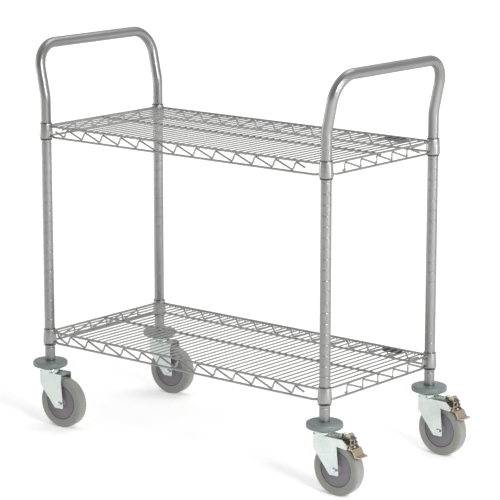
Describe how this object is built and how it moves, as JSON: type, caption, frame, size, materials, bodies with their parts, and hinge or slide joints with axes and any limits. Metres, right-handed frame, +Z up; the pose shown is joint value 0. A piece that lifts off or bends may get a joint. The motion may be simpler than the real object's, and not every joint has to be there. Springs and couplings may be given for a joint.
{
  "type": "wire shelf cart",
  "caption": "Wire shelf cart: open wire decks between bent tube end frames whose tops form push handles, on swivel casters with round bumpers, some with toe brakes.",
  "frame": {"origin": "on the floor, midway between the four posts", "axes": "+X along the cart, towards the end with the braked casters; +Y from the front to the back; +Z up"},
  "size_m": [1.0362, 0.502, 0.9798],
  "materials": {
    "tube_metal": "satin plated steel tube",
    "wire_metal": "satin plated steel wire",
    "collar_metal": "satin plated steel",
    "black_plastic": "moulded, matt",
    "label_black": "blank plate",
    "bumper_grey": "smooth blue-grey, satin",
    "tread_grey": "cast polyurethane, soft gloss",
    "hub_grey": "moulded, matt",
    "bushing_white": "moulded, matt",
    "shoe_steel": "dark pressed steel",
    "screw_steel": "dark steel",
    "gold_zinc": "yellow passivated zinc",
    "ball_steel": "polished steel balls",
    "bolt_zinc": "bright zinc",
    "fork_zinc": "bright blue-white zinc"
  },
  "bodies": {
    "cart_frame": {"left_handle_frame": "tube_metal", "right_handle_frame": "tube_metal", "upper_top_rails": "wire_metal", "upper_bottom_rails": "wire_metal", "upper_snake_wires": "wire_metal", "upper_deck_wires": "wire_metal", "upper_centre_rib": "wire_metal", "upper_corner_collars": "collar_metal", "upper_split_sleeves": "black_plastic", "lower_top_rails": "wire_metal", "lower_bottom_rails": "wire_metal", "lower_snake_wires": "wire_metal", "lower_deck_wires": "wire_metal", "lower_centre_rib": "wire_metal", "lower_corner_collars": "collar_metal", "lower_split_sleeves": "black_plastic", "shelf_label_plates": "label_black", "caster_stems": "bolt_zinc", "stem_expanders": "black_plastic", "bumpers": "bumper_grey", "swivel_top_races": "fork_zinc"},
    "caster_left_front": {"fork_left_front": "fork_zinc", "swivel_balls_left_front": "ball_steel", "axle_bolt_left_front": "bolt_zinc", "axle_sleeve_left_front": "bolt_zinc"},
    "wheel_left_front": {"tread_left_front": "tread_grey", "hub_left_front": "hub_grey", "wheel_bushing_left_front": "bushing_white"},
    "caster_left_back": {"fork_left_back": "fork_zinc", "swivel_balls_left_back": "ball_steel", "axle_bolt_left_back": "bolt_zinc", "axle_sleeve_left_back": "bolt_zinc"},
    "wheel_left_back": {"tread_left_back": "tread_grey", "hub_left_back": "hub_grey", "wheel_bushing_left_back": "bushing_white"},
    "caster_right_front": {"fork_right_front": "fork_zinc", "swivel_balls_right_front": "ball_steel", "axle_bolt_right_front": "bolt_zinc", "axle_sleeve_right_front": "bolt_zinc", "brake_bracket_front": "gold_zinc", "brake_screw_front": "screw_steel", "pedal_pin_front": "bolt_zinc"},
    "wheel_right_front": {"tread_right_front": "tread_grey", "hub_right_front": "hub_grey", "wheel_bushing_right_front": "bushing_white"},
    "caster_right_back": {"fork_right_back": "fork_zinc", "swivel_balls_right_back": "ball_steel", "axle_bolt_right_back": "bolt_zinc", "axle_sleeve_right_back": "bolt_zinc", "brake_bracket_back": "gold_zinc", "brake_screw_back": "screw_steel", "pedal_pin_back": "bolt_zinc"},
    "wheel_right_back": {"tread_right_back": "tread_grey", "hub_right_back": "hub_grey", "wheel_bushing_right_back": "bushing_white"},
    "pedal_front": {"brake_pedal_front": "gold_zinc", "brake_shoe_front": "shoe_steel"},
    "pedal_back": {"brake_pedal_back": "gold_zinc", "brake_shoe_back": "shoe_steel"}
  },
  "joints": [
    {"name": "swivel_left_front", "type": "hinge", "parent": "cart_frame", "child": "caster_left_front", "pos_m": [-0.4395, -0.2075, 0.144], "axis": [0, 0, 1], "continuous": true},
    {"name": "swivel_left_back", "type": "hinge", "parent": "cart_frame", "child": "caster_left_back", "pos_m": [-0.4395, 0.2075, 0.144], "axis": [0, 0, 1], "continuous": true},
    {"name": "swivel_right_front", "type": "hinge", "parent": "cart_frame", "child": "caster_right_front", "pos_m": [0.4395, -0.2075, 0.144], "axis": [0, 0, 1], "continuous": true},
    {"name": "swivel_right_back", "type": "hinge", "parent": "cart_frame", "child": "caster_right_back", "pos_m": [0.4395, 0.2075, 0.144], "axis": [0, 0, 1], "continuous": true},
    {"name": "roll_left_front", "type": "hinge", "parent": "caster_left_front", "child": "wheel_left_front", "pos_m": [-0.39766, -0.20384, 0.0635], "axis": [-0.0872, 0.9962, 0], "continuous": true},
    {"name": "roll_left_back", "type": "hinge", "parent": "caster_left_back", "child": "wheel_left_back", "pos_m": [-0.39766, 0.21116, 0.0635], "axis": [-0.0872, 0.9962, 0], "continuous": true},
    {"name": "roll_right_front", "type": "hinge", "parent": "caster_right_front", "child": "wheel_right_front", "pos_m": [0.48149, -0.20677, 0.0635], "axis": [-0.0175, 0.9998, 0], "continuous": true},
    {"name": "roll_right_back", "type": "hinge", "parent": "caster_right_back", "child": "wheel_right_back", "pos_m": [0.48149, 0.20677, 0.0635], "axis": [0.0175, 0.9998, 0], "continuous": true},
    {"name": "press_pedal_front", "type": "hinge", "parent": "caster_right_front", "child": "pedal_front", "pos_m": [0.51549, -0.20617, 0.124], "axis": [-0.0175, 0.9998, 0], "range_deg": [0, 8]},
    {"name": "press_pedal_back", "type": "hinge", "parent": "caster_right_back", "child": "pedal_back", "pos_m": [0.51549, 0.20617, 0.124], "axis": [0.0175, 0.9998, 0], "range_deg": [0, 8]}
  ]
}
